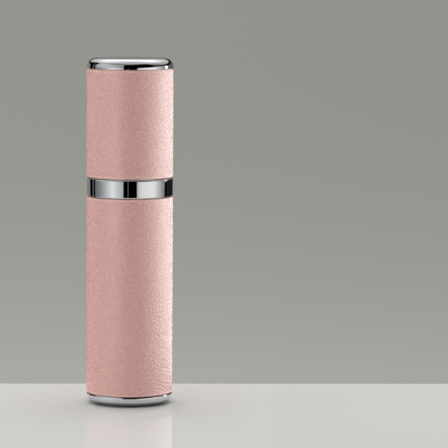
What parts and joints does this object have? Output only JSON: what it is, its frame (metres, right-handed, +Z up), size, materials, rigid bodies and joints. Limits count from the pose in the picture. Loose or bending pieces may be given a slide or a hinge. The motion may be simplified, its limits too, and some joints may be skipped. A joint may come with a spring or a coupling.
{
  "type": "perfume bottle",
  "caption": "Slim cylindrical refillable perfume atomiser: leather-wrapped case and pull-off cap, bright metal ring, base and crown, with a screw-on fine-mist pump inside.",
  "frame": {"origin": "centre of the base, on the plane it stands on", "axes": "+Z up the bottle's axis to the cap, -Y to the front, where the spray nozzle points and the picture looks"},
  "size_m": [0.024, 0.024, 0.0957],
  "materials": {
    "chrome": "polished",
    "tube_aluminium": "satin",
    "pink_leather": "pebbled, satin",
    "inner_plastic": "satin",
    "foam": "closed-cell foam",
    "vial_glass": "clear",
    "black_rubber": "matte",
    "pump_plastic": "satin",
    "pump_metal": "anodised, bright",
    "tubing": "translucent",
    "spring_steel": "drawn wire"
  },
  "bodies": {
    "case": {"base_cap": "chrome", "lower_tube": "tube_aluminium", "lower_leather": "pink_leather", "vial_liner": "inner_plastic", "vial_cushion": "foam", "glass_vial": "vial_glass", "middle_ring": "chrome"},
    "o_ring": {"neck_o_ring": "black_rubber"},
    "cap": {"cap_tube": "tube_aluminium", "cap_leather": "pink_leather", "cap_top": "chrome", "cap_liner": "inner_plastic"},
    "gasket": {"neck_gasket": "foam"},
    "sprayer": {"closure": "pump_plastic", "closure_shell": "pump_metal", "pump_housing": "pump_plastic", "pump_turret": "pump_plastic", "dip_tube": "tubing", "return_spring": "spring_steel"},
    "ball": {"inlet_ball": "spring_steel"},
    "piston": {"piston": "pump_plastic"},
    "stem": {"stem": "pump_plastic"},
    "spray_head": {"actuator_button": "pump_plastic", "actuator_shell": "pump_metal", "nozzle_insert": "pump_plastic"}
  },
  "joints": [
    {"name": "cap_turn", "type": "hinge", "parent": "case", "child": "o_ring", "pos_m": [0, 0, 0.0661], "axis": [0, 0, 1], "continuous": true},
    {"name": "cap_pull", "type": "slide", "parent": "o_ring", "child": "cap", "axis": [0, 0, 1], "range_m": [0, 0.036]},
    {"name": "sprayer_lift", "type": "slide", "parent": "case", "child": "gasket", "axis": [0, 0, 1], "range_m": [0, 0.00316]},
    {"name": "sprayer_turn", "type": "hinge", "parent": "gasket", "child": "sprayer", "pos_m": [0, 0, 0.0613], "axis": [0, 0, 1], "range_deg": [0, 540]},
    {"name": "spray_press", "type": "slide", "parent": "sprayer", "child": "stem", "axis": [0, 0, -1], "range_m": [0, 0.004], "stiffness_N_per_m": 1500, "springref_m": -0.002, "deforming": ["return_spring"]},
    {"name": "piston_slide", "type": "slide", "parent": "sprayer", "child": "piston", "axis": [0, 0, -1], "range_m": [0, 0.00361]},
    {"name": "head_turn", "type": "hinge", "parent": "stem", "child": "spray_head", "pos_m": [0, 0, 0.0772], "axis": [0, 0, 1], "continuous": true},
    {"name": "ball_lift", "type": "slide", "parent": "sprayer", "child": "ball", "axis": [0, 0, 1], "range_m": [0, 0.0008]}
  ],
  "couplings": [
    {"joint": "sprayer_lift", "follows": "sprayer_turn", "m_per_rad": 0.00033423},
    {"joint": "piston_slide", "follows": "spray_press", "ratio": 0.9}
  ]
}
